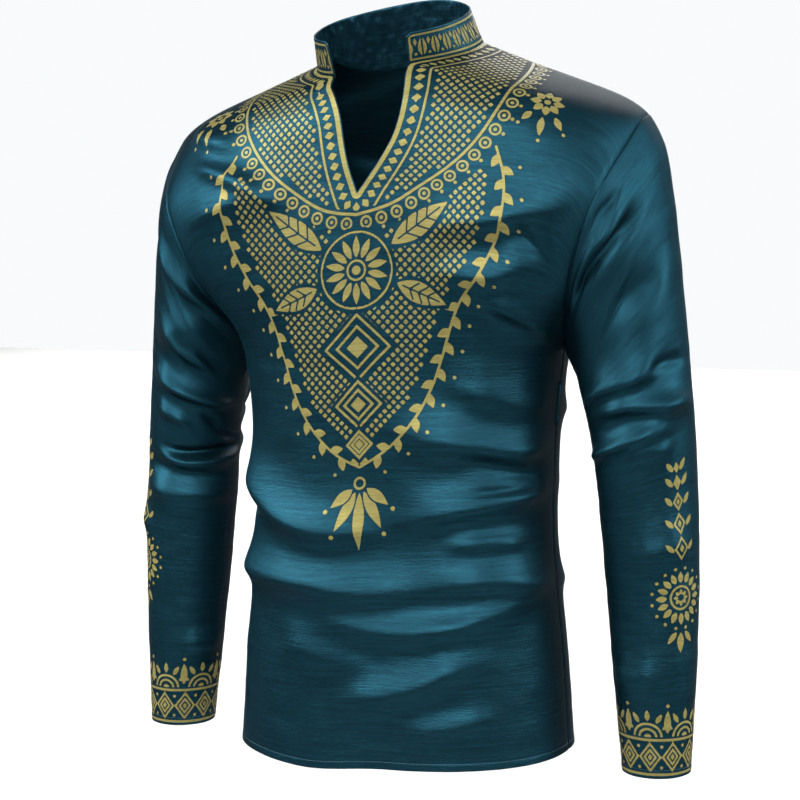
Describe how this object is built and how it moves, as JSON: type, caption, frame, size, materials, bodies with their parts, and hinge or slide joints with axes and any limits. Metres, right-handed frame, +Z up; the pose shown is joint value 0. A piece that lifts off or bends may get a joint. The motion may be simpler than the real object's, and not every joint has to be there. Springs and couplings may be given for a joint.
{
  "type": "pullover shirt",
  "caption": "Long-sleeved satin pullover shirt with a stand collar, an open V neck and a gold ornament, in its worn, hollow shape.",
  "frame": {"origin": "midway between the two points where the shoulder seams meet the collar, on the wearer's upright axis", "axes": "+Z up the wearer's back, -Y toward the wearer's front, +X toward the wearer's left"},
  "size_m": [0.6241, 0.2531, 0.786],
  "materials": {
    "teal_satin": "glossy slub satin",
    "collar_satin": "glossy slub satin"
  },
  "bodies": {
    "root": {"front_panel": "teal_satin", "back_panel": "teal_satin", "sleeve_left": "teal_satin", "sleeve_right": "teal_satin", "collar_band": "collar_satin"}
  },
  "joints": []
}
